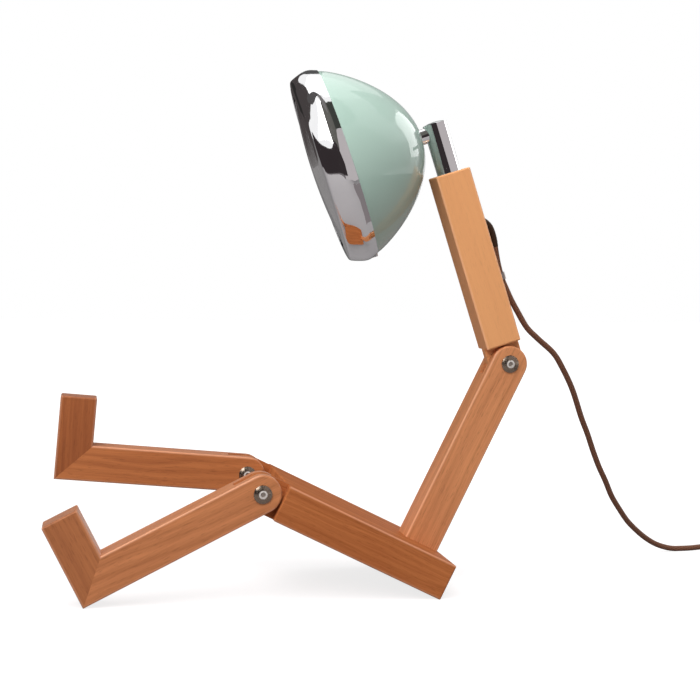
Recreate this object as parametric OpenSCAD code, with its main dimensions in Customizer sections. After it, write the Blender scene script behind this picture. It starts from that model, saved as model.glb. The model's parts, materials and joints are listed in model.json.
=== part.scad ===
// Desk lamp in the form of a seated figure. Square timber limbs turn in bridle
// joints on through bolts, and a round headlamp shade swivels on a steel neck.
// Millimetres, +Z up. The lamp faces -X and its right leg is on the -Y side.
// The origin is on the table, under the middle of the lamp.

/* [Timber] */
// Side of the square timber that every limb is cut from
stock = 30; // [26:1:36]
// Width of the seat block across both hips
seat_w = 145; // [125:1:170]
// Seat block from its rear edge to the knee pivots
seat_l = 165.8; // [140:0.1:200]
// Lower torso from the seat's top to the waist pivot
lower_l = 166.7; // [140:0.1:200]
// Upper torso from the waist pivot to its top
upper_l = 166.3; // [150:0.1:200]
// Shin from the knee pivot to the sole of the foot
leg_l = 161; // [130:1:200]
// Foot from its heel to its toe
foot_h = 70; // [55:1:90]
// Step from the seat's rear edge to the lower torso
torso_step = 3; // [0:0.5:8]
// Radius of the eased edges
edge_r = 1.5; // [0.5:0.1:3]

/* [Pose at rest] */
// Bend of the right knee below straight; the seat's slope follows from it
near_knee_bend = 52.9; // [40:0.1:70]
// Bend of the left knee below straight
far_knee_bend = 21.4; // [0:0.1:40]
// Forward bend of the waist from straight
waist_bend = 44; // [20:0.1:70]
// Turn of the head towards +Y
head_turn = 7; // [0:1:30]

/* [Bridle joints] */
// Width of the slot between the two cheeks of a fork
slot_w = 10; // [8:0.5:12]
// Gap between a round end and the shoulder that it turns past
shoulder_gap = 1.5; // [1:0.1:3]
// Thickness of the fibre washers beside a tongue
washer_t = 0.5; // [0.3:0.1:1]
// Diameter of the fibre washers
washer_d = 22; // [18:1:26]
// Running gap between a tongue and its washers
run_gap = 0.1; // [0.05:0.01:0.2]

/* [Joint bolts] */
// Diameter of the button heads
head_d = 14.5; // [12:0.5:18]
// Height of the button heads
head_h = 3; // [2.6:0.1:4]
// Straight edge of a button head, below its dome
head_edge = 1; // [0.6:0.1:1.6]
// Outside diameter of the sleeve nut, which is the pivot
sleeve_d = 8; // [8:0.5:10]
// Thread diameter of the bolt
bolt_d = 6; // [4:0.5:6]
// Width across the flats of the hexagon sockets
socket_af = 4; // [3:0.5:6]
// Depth of the hexagon sockets
socket_deep = 2; // [1.5:0.1:2.4]
// Radial clearance of the pivots in their bores
pivot_gap = 0.05; // [0.02:0.01:0.1]

/* [Glued and screwed joints] */
// Diameter of the dowels in the mitred ankles
dowel_d = 6; // [5:1:8]
// Length of the dowels
dowel_l = 24; // [16:1:28]
// Distance between the two dowels or the two screws of a joint
pair_pitch = 14; // [12:1:15]
// Shank diameter of the screws that hold the torso to the seat
screw_d = 5; // [4:0.5:6]
// Length of the torso screws under the head
screw_l = 58; // [45:1:80]
// Depth of the counterbores in the seat's underside
screw_sink = 8; // [4:1:12]

/* [Neck] */
// Outside diameter of the neck tube
neck_d = 20; // [18:0.5:22]
// Wall of the neck tube
neck_wall = 2; // [1.8:0.1:2.5]
// Neck tube above the torso
neck_up = 42.5; // [38:0.5:60]
// Neck tube inside the torso
neck_in = 36; // [25:1:45]
// Height of the domed cap
cap_h = 1.5; // [1:0.5:5]
// Wall of the bush that the neck turns in
bush_wall = 2; // [1.5:0.1:3]
// Section of the two friction rings on the neck
ring_d = 1.6; // [1.4:0.1:1.8]

/* [Shade] */
// Height of the shade's stem above the torso
stem_h = 35; // [34:0.5:54]
// Droop of the shade's axis from square to the neck
shade_pitch = 1.6; // [-5:0.1:15]
// Diameter of the threaded stem
stem_d = 10; // [10:0.5:12]
// Bore of the stem for the leads
stem_bore = 7; // [4:0.5:7]
// Gap from the neck tube to the back of the bowl
stem_gap = 3.5; // [3:0.5:12]
// Largest radius of the painted bowl
bowl_r = 78.7; // [70:0.1:90]
// Depth of the painted bowl
bowl_deep = 65.5; // [55:0.5:80]
// Roundness of the bowl: 2 is an ellipse, less is more pointed
bowl_power = 1.2; // [1.1:0.05:2]
// Sheet thickness of the bowl
bowl_wall = 1; // [0.8:0.1:1.5]
// Depth of the chromed rim
rim_deep = 25.4; // [22:0.1:32]
// Height of the rim's belly over the bowl's edge
rim_belly = 3.3; // [2:0.1:6]
// Sheet thickness of the rim
rim_wall = 0.9; // [0.8:0.1:1.2]
// Width of the lip round the glass
lip_w = 12; // [10:0.5:16]
// Rise of the domed glass
glass_rise = 5.4; // [3:0.1:9]
// Thickness of the glass
glass_t = 3; // [2:0.5:4]
// Diameter of the lamp holder
holder_d = 22; // [20:1:26]
// Diameter of the bulb
bulb_d = 16; // [14:1:20]
// Length of the bulb out of its holder
bulb_l = 44; // [35:1:46]

/* [Lead] */
// Diameter of the textile lead
cord_d = 5; // [5:0.5:6]
// Height of the cord clip above the waist pivot
clip_z = 71; // [60:1:90]
// Width of the cord clip
clip_w = 6; // [5:0.5:10]
// Drop of the lead's exit below the torso's top
exit_drop = 44.3; // [42.5:0.1:48]

/* [Switch and plug] */
// Length of the switch housing
switch_l = 58; // [50:1:70]
// Width of the switch housing
switch_w = 24; // [20:1:30]
// Height of the switch housing
switch_h = 16; // [14:0.5:20]
// Tilt of the rocker at rest
rocker_tilt = 7; // [4:1:8]
// Length of the plug's body
plug_l = 34; // [30:1:40]
// Width of the plug's body
plug_w = 35; // [30:0.5:38]
// Thickness of the plug's body
plug_t = 13.7; // [12:0.1:16]
// Diameter of the plug's pins
pin_d = 4; // [3.5:0.5:5]
// Length of the plug's pins
pin_l = 19; // [15:0.5:20]
// Distance between the pins
pin_pitch = 19; // [16:0.5:20]

/* [Hidden] */
$fn = 64;
half = stock / 2;
shoulder = half + shoulder_gap;
tongue_t = slot_w - 2 * (washer_t + run_gap);
knee_y = (seat_w - stock) / 2;
sleeve_r = sleeve_d / 2;
bolt_r = bolt_d / 2;
dome_r = (pow(head_d / 2, 2) + pow(head_h - head_edge, 2)) / (2 * (head_h - head_edge));
eps = 0.01;

// Slope of the seat at which its rear edge and the right heel both rest on the table
rest_sin = seat_l + leg_l * cos(near_knee_bend) - half * sin(near_knee_bend) - edge_r;
rest_cos = half - leg_l * sin(near_knee_bend) - half * cos(near_knee_bend) - edge_r;
seat_pitch = asin(-edge_r / norm([rest_sin, rest_cos])) - atan2(rest_cos, rest_sin);
edge_rise = edge_r * (cos(seat_pitch) + sin(seat_pitch) - 1);

// Waist pivot in the seat's frame
waist_x = -torso_step - half;
waist_z = stock + lower_l;

// Outer limits of the lamp in plan, measured from the seat's rear bottom edge
near_slope = seat_pitch - near_knee_bend;
knee_x = -seat_l * cos(seat_pitch) + half * sin(seat_pitch);
toe_x = knee_x - leg_l * cos(near_slope) + (foot_h - half) * sin(near_slope);
back_x = waist_x * cos(seat_pitch) + waist_z * sin(seat_pitch) + half;
rim_r = bowl_r + rim_belly;
edge_z = neck_d / 2 + stem_gap + bowl_deep;
belly_z = edge_z + 0.35 * rim_deep;
side_y = belly_z * sin(head_turn) + rim_r * cos(head_turn);
plan_x = (toe_x + back_x) / 2;
plan_y = (side_y - seat_w / 2 - head_h) / 2;

// Neck and stem, measured from the middle of the stem on the neck's axis
neck_r = neck_d / 2;
tube_bore_r = neck_r - neck_wall;
torso_top = -stem_h;
tube_foot = torso_top - neck_in;
tube_top = neck_up - stem_h;
bush_bore_r = neck_r + pivot_gap;
bush_r = bush_bore_r + bush_wall;
bush_floor = 2;
ring_r = bush_bore_r - 0.02 - ring_d / 2;
wire_x = 4.2;
wire_r = 1.5;
wire_hole_r = 2.3;
wire_bend = 6;
channel_r = 5;
channel_foot = 8;
clip_screw_l = 9;
clip_screw_r = 1.05;
stem_in = 1;

// Shade, measured along its axis from the neck's axis
bowl_back = neck_r + stem_gap;
seat_angle = 6;
bowl_flat = bowl_back + bowl_deep * (1 - pow(cos(seat_angle), 2 / bowl_power));
nut_z = bowl_flat + bowl_wall;
nut_h = 3;
holder_z = nut_z + nut_h + 1.5;
holder_h = 26;
holder_in = 10;
bulb_z = holder_z + holder_h;
bulb_pin_l = 8;
flange_h = 4;
front_z = edge_z + rim_deep;
lip_r = rim_r - 5 - lip_w;
glass_r = lip_r + 5;
glass_back = front_z - 5.1;
glass_front = glass_back + glass_t;
seal_t = 0.8;
seal_rim = 0.3;
mirror_wall = 0.8;
mirror_gap = 10.5;
mirror_vertex = bowl_back + mirror_gap;
mirror_r = lip_r + 1;
mirror_flange = glass_back - seal_t - mirror_wall;
mirror_focus = pow(mirror_r, 2) / (4 * (mirror_flange + mirror_wall - mirror_vertex));

// Cord routes: on the torso in the torso's frame (x, z), and then in the table frame
cord_r = cord_d / 2;
cord_gap = 0.3;
exit_z = upper_l - exit_drop;
relief_r = 3.9;
relief_tip = cord_r + 0.4;
exit_r = relief_r + 0.6;
relief_last = 7;
clip_point = 10;
back_run = exit_z - 10 - clip_z;
torso_route = [
    [9, exit_z], [12.3, exit_z], [16.1, exit_z - 0.8], [19.4, exit_z - 2.9],
    [21.5, exit_z - 6.2], [22.3, exit_z - 10], [22.3, clip_z + 0.82 * back_run],
    [21.2, clip_z + 0.63 * back_run], [19.4, clip_z + 0.44 * back_run],
    [18.2, clip_z + 0.22 * back_run], [17.9, clip_z], [18.2, clip_z - clip_w]
];
fall_route = [
    [67.9, 0, 251.3], [70.4, 0, 246.1], [74.3, 0, 238.1], [80.3, 1, 228.1], [89.7, 3, 214],
    [101.1, 6, 203.9], [116.1, 11, 191.9], [126, 16, 178.8], [137.9, 24, 159.7],
    [149.7, 34, 134.7], [157.7, 40, 119.6], [165.6, 47, 103.6], [173.5, 53, 88.5],
    [182.4, 60, 74.5], [191.3, 68, 59.7], [201.1, 75, 47.1], [212, 83, 34.6], [223, 90, 24.9],
    [235, 97, 16], [247, 103, 9], [259, 107, 4.5], [270, 109, 2.5], [283, 110, 2.5],
    [298, 115, 2.5], [311, 121.5, 4.9], [320.5, 126, 8], [324.7, 126, 8]
];
coil_route = [
    [395.3, 126, 8], [399, 126, 8], [410, 125, 5.2], [421, 120.5, 3.6], [430, 110, 3.3],
    [434, 97, 3.3], [434, 85, 3.3]
];
tail_route = [
    [434, 66, 8.2], [433.5, 58, 7.7], [431, 50, 7.2], [426.5, 43, 6.9], [421.5, 36.5, 6.85],
    [418.5, 30, 6.85], [418, 26.5, 6.85], [418, 24.4, 6.85]
];
coil_x = 399;
coil_y = 74;
coil_in = 22.5;
coil_out = 37.5;
tie_t = 0.8;
tie_w = 8;
tie_in = sqrt(pow(coil_in, 2) - pow(tie_w / 2, 2)) - 0.2;
coil_h = 10;
switch_x = 360;
switch_y = 126;
plug_x = 418;
plug_y = -30;
relief_l = 20;

timber = [0.72, 0.47, 0.30];
pale_timber = [0.84, 0.60, 0.40];
chrome = [0.80, 0.80, 0.82];
mint = [0.55, 0.70, 0.63];
textile = [0.36, 0.22, 0.17];
black = [0.10, 0.10, 0.10];

// Places ---------------------------------------------------------------------

// Table frame: below the seat's rear bottom edge, on the figure's middle plane
module on_table() {
    translate([-plan_x, -plan_y, 0]) children();
}

// Seat frame: underside at z = 0, rear edge at x = 0
module on_seat() {
    on_table() translate([0, 0, -edge_rise]) rotate([0, seat_pitch, 0]) children();
}

// Knee frame: pivot at the origin, before the bend
module on_knee(side) {
    on_seat() translate([-seat_l, side * knee_y, half]) children();
}

// Leg frames: knee pivot at the origin, shin along -x
module on_near_leg() {
    on_knee(-1) rotate([0, -near_knee_bend, 0]) children();
}

module on_far_leg() {
    on_knee(1) rotate([0, -far_knee_bend, 0]) children();
}

// Waist frame: pivot at the origin, before the bend
module on_waist() {
    on_seat() translate([waist_x, 0, waist_z]) children();
}

// Upper torso frame: waist pivot at the origin, torso along +z
module on_torso() {
    on_waist() rotate([0, -waist_bend, 0]) children();
}

// Neck frame: middle of the stem on the neck's axis
module on_neck() {
    on_torso() translate([0, 0, upper_l + stem_h]) rotate([0, 0, -head_turn]) children();
}

// Shade frame: +z along the shade's axis to the front, +x upwards
module on_shade() {
    on_neck() rotate([0, -shade_pitch - 90, 0]) children();
}

// Switch frame: middle of the housing's underside
module on_switch() {
    on_table() translate([switch_x, switch_y, 0]) children();
}

// Plug frame: middle of the pin face, pins along -x, which points to the lamp's right
module on_plug() {
    on_table() translate([plug_x, plug_y, plug_t / 2]) rotate([0, 0, 90]) children();
}

// Shapes ---------------------------------------------------------------------

// Rectangle with rounded corners
module eased_rect(x0, x1, y0, y1, r = edge_r) {
    translate([x0 + r, y0]) square([x1 - x0 - 2 * r, y1 - y0]);
    translate([x0, y0 + r]) square([x1 - x0, y1 - y0 - 2 * r]);
    for (x = [x0 + r, x1 - r], y = [y0 + r, y1 - r]) translate([x, y]) circle(r = r);
}

// Block with every edge eased, from three crossing extrusions
module eased_block(x0, x1, y0, y1, z0, z1, r = edge_r) {
    intersection() {
        translate([0, 0, z0]) linear_extrude(z1 - z0) eased_rect(x0, x1, y0, y1, r);
        translate([0, y1, 0]) rotate([90, 0, 0])
            linear_extrude(y1 - y0) eased_rect(x0, x1, z0, z1, r);
        translate([x0, 0, 0]) rotate([90, 0, 90])
            linear_extrude(x1 - x0) eased_rect(y0, y1, z0, z1, r);
    }
}

// Square bar along +z with its long edges eased
module limb(z0, z1) {
    translate([0, 0, z0]) linear_extrude(z1 - z0) eased_rect(-half, half, -half, half);
}

// Round end of a limb about its pivot, with an eased rim
module round_end() {
    rotate([90, 0, 0]) rotate_extrude() intersection() {
        eased_rect(-half, half, -half, half);
        translate([0, -half]) square([half, stock]);
    }
}

// Solid round about the pivot's axis, centred on y
module along_pivot(r, t) {
    rotate([90, 0, 0]) cylinder(r = r, h = t, center = true);
}

// Slot of a fork, open over the round end; the limb runs along -z
module fork_slot() {
    translate([-stock, -slot_w / 2, -shoulder]) cube([2 * stock, slot_w, 2 * stock]);
}

// Tongue about a pivot, running back into its shoulder along -z
module tongue() {
    along_pivot(half, tongue_t);
    translate([-half, -tongue_t / 2, -shoulder - edge_r - 1])
        cube([stock, tongue_t, shoulder + edge_r + 1]);
}

// Head of a joint bolt, domed along +z, with its hexagon socket
module button_head() {
    difference() {
        rotate_extrude() intersection() {
            translate([0, head_h - dome_r]) circle(r = dome_r, $fn = 180);
            square([head_d / 2, head_h]);
        }
        translate([0, 0, head_h - socket_deep])
            cylinder(d = socket_af / cos(30), h = socket_deep + 1, $fn = 6);
    }
}

// Bolt through a fork, head on the -y side
module joint_bolt() {
    color(chrome) {
        translate([0, -half, 0]) rotate([90, 0, 0]) button_head();
        translate([0, -half, 0]) rotate([-90, 0, 0]) cylinder(r = bolt_r, h = stock - 4);
    }
}

// Sleeve nut through a fork, head on the +y side; its barrel is the pivot
module joint_nut() {
    color(chrome) {
        translate([0, half, 0]) rotate([-90, 0, 0]) button_head();
        translate([0, half, 0]) rotate([90, 0, 0]) difference() {
            cylinder(r = sleeve_r, h = stock - 1);
            translate([0, 0, 3]) cylinder(r = bolt_r + pivot_gap, h = stock);
        }
    }
}

// Fibre washers inside a fork, one against each cheek
module joint_washers() {
    color("tan") for (side = [-1, 1])
        translate([0, side * (slot_w - washer_t) / 2, 0]) difference() {
            along_pivot(washer_d / 2, washer_t);
            along_pivot(sleeve_r + pivot_gap, 2 * washer_t);
        }
}

// Everything on the foot's side of the ankle's mitre
module foot_side() {
    reach = foot_h + stock;
    translate([-leg_l, 0, -half]) rotate([0, -45, 0])
        translate([-stock, -stock, 0]) cube([stock + reach, 2 * stock, reach]);
}

// Dowels or their bores, square to the ankle's mitre
module ankle_dowels(gap = 0) {
    for (side = [-1, 1])
        translate([half - leg_l, side * pair_pitch / 2, 0]) rotate([0, 135, 0])
            cylinder(r = dowel_d / 2 + gap, h = dowel_l + 10 * gap, center = true);
}

// Limbs ----------------------------------------------------------------------

// Shin: forked round knee end, mitred ankle end
module shin() {
    color(timber) difference() {
        union() {
            rotate([0, 90, 0]) limb(-leg_l, 0);
            round_end();
        }
        rotate([0, 90, 0]) fork_slot();
        along_pivot(sleeve_r + pivot_gap, 2 * stock);
        foot_side();
        ankle_dowels(pivot_gap);
    }
}

// Foot: mitred at the heel, with an eased toe
module foot() {
    color(timber) difference() {
        intersection() {
            eased_block(-leg_l, stock - leg_l, -half, half, -stock, foot_h - half);
            foot_side();
        }
        ankle_dowels(pivot_gap);
    }
}

module seat_block() {
    color(timber) on_seat() difference() {
        union() {
            eased_block(shoulder - seat_l, 0, -seat_w / 2, seat_w / 2, 0, stock);
            for (side = [-1, 1]) translate([-seat_l, side * knee_y, half])
                rotate([0, -90, 0]) tongue();
        }
        for (side = [-1, 1]) translate([-seat_l, side * knee_y, half])
            along_pivot(sleeve_r + pivot_gap, stock);
        torso_screw_places() {
            cylinder(r = screw_d / 2 + pivot_gap, h = stock + 1);
            translate([0, 0, -1]) cylinder(r = screw_d + 0.5, h = screw_sink + 1);
        }
    }
}

// Both screw places, from the seat's underside up
module torso_screw_places() {
    for (side = [-1, 1]) translate([waist_x, side * pair_pitch / 2, 0]) children();
}

module lower_torso() {
    color(timber) on_seat() difference() {
        translate([waist_x, 0, waist_z]) difference() {
            union() {
                limb(-lower_l, 0);
                round_end();
            }
            fork_slot();
            along_pivot(sleeve_r + pivot_gap, 2 * stock);
        }
        torso_screw_places()
            cylinder(r = screw_d / 2 + pivot_gap, h = screw_sink + screw_l + 2);
    }
}

module torso_screws() {
    color(chrome) on_seat() torso_screw_places() translate([0, 0, screw_sink]) {
        cylinder(r = screw_d / 2, h = screw_l);
        translate([0, 0, -3]) difference() {
            cylinder(r = screw_d, h = 3);
            translate([0, 0, -1]) cylinder(d = socket_af / cos(30), h = 3, $fn = 6);
        }
    }
}

module waist_bolt() {
    on_waist() joint_bolt();
}

module waist_nut() {
    on_waist() joint_nut();
}

module waist_washers() {
    on_waist() joint_washers();
}

module near_shin() {
    on_near_leg() shin();
}

module near_foot() {
    on_near_leg() foot();
}

module near_foot_dowels() {
    color("tan") on_near_leg() ankle_dowels();
}

module near_knee_bolt() {
    on_near_leg() joint_bolt();
}

module near_knee_nut() {
    on_near_leg() joint_nut();
}

module near_knee_washers() {
    on_near_leg() joint_washers();
}

module far_shin() {
    on_far_leg() shin();
}

module far_foot() {
    on_far_leg() foot();
}

module far_foot_dowels() {
    color("tan") on_far_leg() ankle_dowels();
}

module far_knee_bolt() {
    on_far_leg() joint_bolt();
}

module far_knee_nut() {
    on_far_leg() joint_nut();
}

module far_knee_washers() {
    on_far_leg() joint_washers();
}

// Upper torso: waist tongue, neck socket, lead channel and its way out at the back
module upper_torso() {
    socket_floor = upper_l - neck_in - bush_floor;
    color(pale_timber) on_torso() difference() {
        union() {
            eased_block(-half, half, -half, half, shoulder, upper_l);
            rotate([0, 180, 0]) tongue();
        }
        along_pivot(sleeve_r + pivot_gap, stock);
        translate([0, 0, socket_floor]) cylinder(r = bush_r + pivot_gap, h = upper_l);
        translate([0, 0, exit_z - channel_foot])
            cylinder(r = channel_r, h = socket_floor - exit_z + channel_foot + 1);
        translate([0, 0, exit_z]) rotate([0, 90, 0]) cylinder(r = exit_r, h = stock);
        clip_screw_places() translate([0, 0, -clip_screw_l])
            cylinder(r = clip_screw_r, h = clip_screw_l);
    }
}

// Neck -----------------------------------------------------------------------

module neck_bush() {
    color("white") on_neck() translate([0, 0, tube_foot - bush_floor]) difference() {
        cylinder(r = bush_r, h = neck_in + bush_floor);
        translate([0, 0, bush_floor]) cylinder(r = bush_bore_r, h = neck_in + 1);
        translate([0, 0, -1]) cylinder(r = channel_r, h = bush_floor + 2);
    }
}

// Heights of the two friction rings
ring_heights = [tube_foot + 6, torso_top - 8];

module neck_tube() {
    color(chrome) on_neck() difference() {
        translate([0, 0, tube_foot]) cylinder(r = neck_r, h = tube_top - tube_foot);
        translate([0, 0, tube_foot - 1]) cylinder(r = tube_bore_r, h = neck_up + neck_in + 2);
        for (z = ring_heights) translate([0, 0, z - ring_d / 2 - 0.1]) difference() {
            cylinder(r = neck_r + 1, h = ring_d + 0.2);
            translate([0, 0, -1]) cylinder(r = ring_r - ring_d / 2 - 0.02, h = ring_d + 3);
        }
        rotate([0, -shade_pitch - 90, 0]) cylinder(r = stem_d / 2 + pivot_gap, h = 2 * neck_r);
    }
}

module neck_rings() {
    color(black) on_neck() for (z = ring_heights) translate([0, 0, z])
        rotate_extrude() translate([ring_r, 0]) circle(d = ring_d);
}

module neck_cap() {
    cap_r = (pow(neck_r, 2) + pow(cap_h, 2)) / (2 * cap_h);
    color(chrome) on_neck() translate([0, 0, tube_top]) {
        rotate_extrude() intersection() {
            translate([0, cap_h - cap_r]) circle(r = cap_r, $fn = 180);
            square([neck_r, cap_h]);
        }
        translate([0, 0, -0.6]) cylinder(r = tube_bore_r - pivot_gap, h = 0.6 + eps);
    }
}

// Block inside the neck that the stem screws into, with a hole for the lead
module stem_block() {
    color("goldenrod") on_neck() difference() {
        translate([0, 0, -stem_d / 2 - 4])
            cylinder(r = tube_bore_r - pivot_gap, h = stem_d + 4.2);
        rotate([0, -shade_pitch - 90, 0]) translate([0, 0, -wire_x - wire_hole_r])
            cylinder(r = stem_d / 2 + pivot_gap, h = 2 * neck_r);
        translate([wire_x, 0, -stem_d]) cylinder(r = wire_hole_r, h = stem_d);
    }
}

// Shade ----------------------------------------------------------------------

module stem() {
    color("dimgray") on_shade() difference() {
        translate([0, 0, -stem_in]) cylinder(d = stem_d, h = holder_z + holder_in + stem_in - 1);
        translate([0, 0, -2 * stem_in]) cylinder(d = stem_bore, h = bulb_z);
    }
}

// Collar between the neck and the bowl, saddled to the tube
module stem_collar() {
    color(chrome) on_shade() difference() {
        translate([0, 0, neck_r / 2]) cylinder(d = stem_d + 3, h = bowl_flat - neck_r / 2);
        translate([0, 0, -1]) cylinder(r = stem_d / 2 + pivot_gap, h = bowl_flat + 2);
        rotate([0, shade_pitch + 90, 0]) cylinder(r = neck_r + pivot_gap, h = 4 * stem_d, center = true);
    }
}

module stem_nut() {
    color(chrome) on_shade() translate([0, 0, nut_z]) difference() {
        cylinder(d = (stem_d + 4) / cos(30), h = nut_h, $fn = 6);
        translate([0, 0, -1]) cylinder(r = stem_d / 2 + pivot_gap, h = nut_h + 2);
    }
}

// Bowl section at angle a from its axis, for a skin inset by w
function bowl_point(a, w) = [
    (bowl_r - w) * sin(a),
    bowl_back + w + (bowl_deep - w) * (1 - pow(cos(a), 2 / bowl_power))
];

// Painted bowl: flat seat at the back, curved side, straight flange at the edge
module shade_bowl() {
    steps = 24;
    angles = [for (i = [0 : steps]) seat_angle + i * (90 - seat_angle) / steps];
    outer = [for (a = angles) bowl_point(a, 0)];
    inner = [for (i = [steps : -1 : 0]) bowl_point(angles[i], bowl_wall)];
    color(mint) on_shade() rotate_extrude($fn = 128) polygon(concat(
        [[stem_d / 2 + pivot_gap, bowl_flat]], outer,
        [[bowl_r, edge_z + flange_h], [bowl_r - bowl_wall, edge_z + flange_h]], inner,
        [[stem_d / 2 + pivot_gap, bowl_flat + bowl_wall]]
    ));
}

// Outside of the rim from its rear edge over the belly to the lip
rim_outline = [
    [bowl_r + rim_wall, edge_z],
    [rim_r - 0.6, edge_z + 0.2 * rim_deep],
    [rim_r, belly_z],
    [rim_r - 0.4, edge_z + 0.48 * rim_deep],
    [rim_r - 3.9, front_z - 3.4],
    [rim_r - 4.9, front_z - 2],
    [rim_r - 6.6, front_z - 1.1],
    [lip_r, front_z]
];

module shade_rim() {
    inside = [for (i = [len(rim_outline) - 1 : -1 : 0]) rim_outline[i] - [rim_wall, rim_wall]];
    color(chrome) on_shade() difference() {
        rotate_extrude($fn = 128) polygon(concat(rim_outline, inside));
        rim_screw_place() cylinder(r = 3, h = 10);
    }
}

// At the bottom of the rim, outwards through the bowl's flange
module rim_screw_place() {
    translate([0, 0, edge_z + flange_h / 2]) rotate([0, -90, 0])
        translate([0, 0, bowl_r + pivot_gap]) children();
}

module rim_screw() {
    color(chrome) on_shade() rim_screw_place() difference() {
        cylinder(r = 2.75, h = 2.6);
        translate([-3, -0.4, 2]) cube([6, 0.8, 1]);
    }
}

// Spring clips between the rim's inside and the reflector's flange
module rim_clips() {
    wall_r = rim_r - rim_wall - 0.6;
    seat = mirror_flange - pivot_gap;
    color("silver") on_shade() for (a = [45 : 90 : 315]) rotate([0, 0, a]) rotate([90, 0, 0])
        linear_extrude(8, center = true) polygon([
            [wall_r - 0.8, belly_z - 1], [wall_r, belly_z - 1], [wall_r, belly_z + 2],
            [mirror_r + 6, seat], [mirror_r + 3, seat], [mirror_r + 3, seat - 0.8],
            [mirror_r + 5.4, seat - 0.8], [wall_r - 0.8, belly_z + 1.6]
        ]);
}

module front_glass() {
    sphere_r = (pow(lip_r, 2) + pow(glass_rise, 2)) / (2 * glass_rise);
    centre = glass_front + 0.6 + glass_rise - sphere_r;
    color([0.85, 0.9, 0.9, 0.5]) on_shade() rotate_extrude($fn = 128) {
        intersection() {
            translate([0, centre]) difference() {
                circle(r = sphere_r, $fn = 1440);
                circle(r = sphere_r - glass_t, $fn = 1440);
            }
            translate([0, glass_back]) square([lip_r, 4 * glass_rise]);
        }
        translate([lip_r - 1, glass_back]) square([glass_r - lip_r + 1, glass_t]);
    }
}

module glass_seal() {
    color(black) on_shade() rotate_extrude($fn = 128) {
        translate([lip_r + 1, glass_back - seal_t]) square([glass_r - lip_r + 1.5, seal_t]);
        translate([glass_r + seal_rim, glass_back - seal_t])
            square([2.2 - seal_rim, glass_t + seal_t - 0.5]);
    }
}

// Parabolic reflector with a flat flange behind the glass
module reflector() {
    steps = 16;
    hole_r = holder_d / 2 + 1.5;
    radii = [for (i = [0 : steps]) hole_r + i * (mirror_r - hole_r) / steps];
    inner = [for (r = radii) [r, mirror_vertex + r * r / (4 * mirror_focus)]];
    outer = [for (i = [steps : -1 : 0]) inner[i] + [mirror_wall, -mirror_wall]];
    flange = [for (z = [mirror_wall, 0]) [glass_r + 2.5, mirror_flange + z]];
    color("silver") on_shade() rotate_extrude($fn = 128) polygon(concat(inner, flange, outer));
}

module lamp_holder() {
    color("ivory") on_shade() translate([0, 0, holder_z]) difference() {
        union() {
            cylinder(d = stem_d + 6, h = holder_in + 1);
            translate([0, 0, holder_in]) cylinder(d = holder_d, h = holder_h - holder_in);
        }
        translate([0, 0, -1]) cylinder(r = stem_d / 2 + pivot_gap, h = holder_in + 1);
        bulb_pin_places() translate([0, 0, holder_h - bulb_pin_l - 1])
            cylinder(r = 1, h = bulb_pin_l + 2);
    }
}

module bulb_pin_places() {
    for (side = [-1, 1]) translate([0, side * 4.5, 0]) children();
}

module bulb() {
    color("white") on_shade() {
        translate([0, 0, bulb_z]) {
            cylinder(d = bulb_d, h = bulb_l - bulb_d / 2);
            translate([0, 0, bulb_l - bulb_d / 2]) sphere(d = bulb_d);
        }
        translate([0, 0, holder_z]) bulb_pin_places()
            translate([0, 0, holder_h - bulb_pin_l]) cylinder(r = 0.75, h = bulb_pin_l + 1);
    }
}

// Lead -----------------------------------------------------------------------

function unit(v) = v / norm(v);
function along(p, i) = unit(p[min(i + 1, len(p) - 1)] - p[max(i - 1, 0)]);
function spot(c, t, r, a, side) = let (u = unit(cross(side, t)))
    c + r * (cos(a) * u + sin(a) * cross(t, u));
// Torso frame point to the floor frame of the cord routes
function turned(x, z, a) = [x * cos(a) + z * sin(a), z * cos(a) - x * sin(a)];
function waist_place() = turned(waist_x, waist_z, seat_pitch);
function from_torso(p) = let (q = turned(p[0], p[1], seat_pitch - waist_bend))
    [waist_place()[0] + q[0], 0, waist_place()[1] + q[1] - edge_rise];

// Tube through the points p, with radius r0 at its start and r1 at its end; its line is
// nowhere parallel to side
module tube(p, r0, r1, sides = 8, side = [0, 0, 1]) {
    last = len(p) - 1;
    rings = [for (i = [0 : last], k = [0 : sides - 1])
        spot(p[i], along(p, i), r0 + (r1 - r0) * i / last, k * 360 / sides, side)];
    walls = [for (i = [0 : last - 1], k = [0 : sides - 1])
        let (a = i * sides + k, b = i * sides + (k + 1) % sides)
        [a, b, b + sides, a + sides]];
    floors = [[for (k = [sides - 1 : -1 : 0]) k], [for (k = [0 : sides - 1]) last * sides + k]];
    polyhedron(points = rings, faces = concat(walls, floors), convexity = 4);
}

// Inner wires from the strain relief up the torso's channel to the foot of the neck
module torso_wire() {
    rise = upper_l - neck_in - exit_z - wire_bend;
    color("white") on_torso() {
        translate([wire_bend, 0, exit_z]) rotate([0, 90, 0])
            cylinder(r = wire_r, h = torso_route[0][0] - wire_bend - 0.1);
        translate([wire_bend, 0, exit_z + wire_bend]) rotate([90, 0, 0]) rotate([0, 0, 180])
            rotate_extrude(angle = 90) translate([wire_bend, 0]) circle(r = wire_r);
        translate([0, 0, exit_z + wire_bend]) cylinder(r = wire_r, h = rise);
    }
}

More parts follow.
